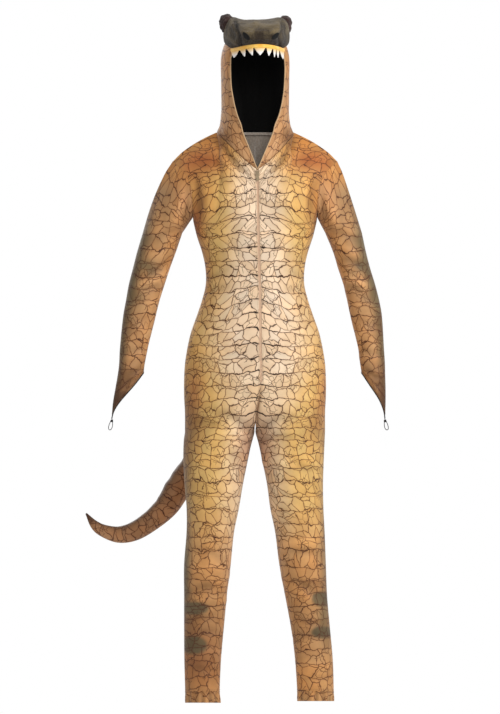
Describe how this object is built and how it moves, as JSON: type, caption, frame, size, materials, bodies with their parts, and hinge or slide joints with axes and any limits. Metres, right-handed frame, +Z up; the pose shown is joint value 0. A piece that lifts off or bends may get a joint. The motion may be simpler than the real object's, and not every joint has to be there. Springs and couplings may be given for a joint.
{
  "type": "dinosaur costume",
  "caption": "Hooded reptile jumpsuit, worn form with hollow body, plush snout hood with felt teeth, front zip, pointed hand covers and a stuffed tail.",
  "frame": {"origin": "middle of the shoulders, where the wearer holds the garment up", "axes": "+Z up along the garment, which faces -Y, with the wearer's right at -X"},
  "size_m": [0.743, 0.4555, 1.6875],
  "materials": {
    "scale_print": "stretch knit with a crackle reptile print",
    "lining_black": "black jersey",
    "plush_brown": "short pile plush",
    "brow_brown": "short pile plush",
    "gum_yellow": "felt",
    "tooth_white": "felt",
    "zip_beige": "woven tape",
    "zip_metal": "dull",
    "elastic_black": "elastic"
  },
  "bodies": {
    "garment": {"front_right": "scale_print", "back_right": "scale_print", "leg_front_right": "scale_print", "leg_back_right": "scale_print", "sleeve_right": "scale_print", "hem_right": "scale_print", "hood_right": "scale_print", "tail_right": "scale_print", "hood_lining_right": "lining_black", "cuff_binding_right": "elastic_black", "finger_loop_right": "elastic_black", "zip_tape_right": "zip_beige", "brow_bump_right": "brow_brown", "nostril_right": "brow_brown", "front_left": "scale_print", "back_left": "scale_print", "leg_front_left": "scale_print", "leg_back_left": "scale_print", "sleeve_left": "scale_print", "hem_left": "scale_print", "hood_left": "scale_print", "tail_left": "scale_print", "hood_lining_left": "lining_black", "cuff_binding_left": "elastic_black", "finger_loop_left": "elastic_black", "zip_tape_left": "zip_beige", "brow_bump_left": "brow_brown", "nostril_left": "brow_brown", "snout": "plush_brown", "gum_strip": "gum_yellow", "tooth_1": "tooth_white", "tooth_2": "tooth_white", "tooth_3": "tooth_white", "tooth_4": "tooth_white", "tooth_5": "tooth_white", "tooth_6": "tooth_white", "tooth_7": "tooth_white", "tooth_8": "tooth_white", "zip_slider": "zip_metal"},
    "pull_tab": {"zip_pull": "zip_metal"}
  },
  "joints": [
    {"name": "pull_swing", "type": "hinge", "parent": "garment", "child": "pull_tab", "pos_m": [0.00614, -0.10979, -0.09095], "axis": [-1, 0, 0], "range_deg": [0, 150]}
  ]
}
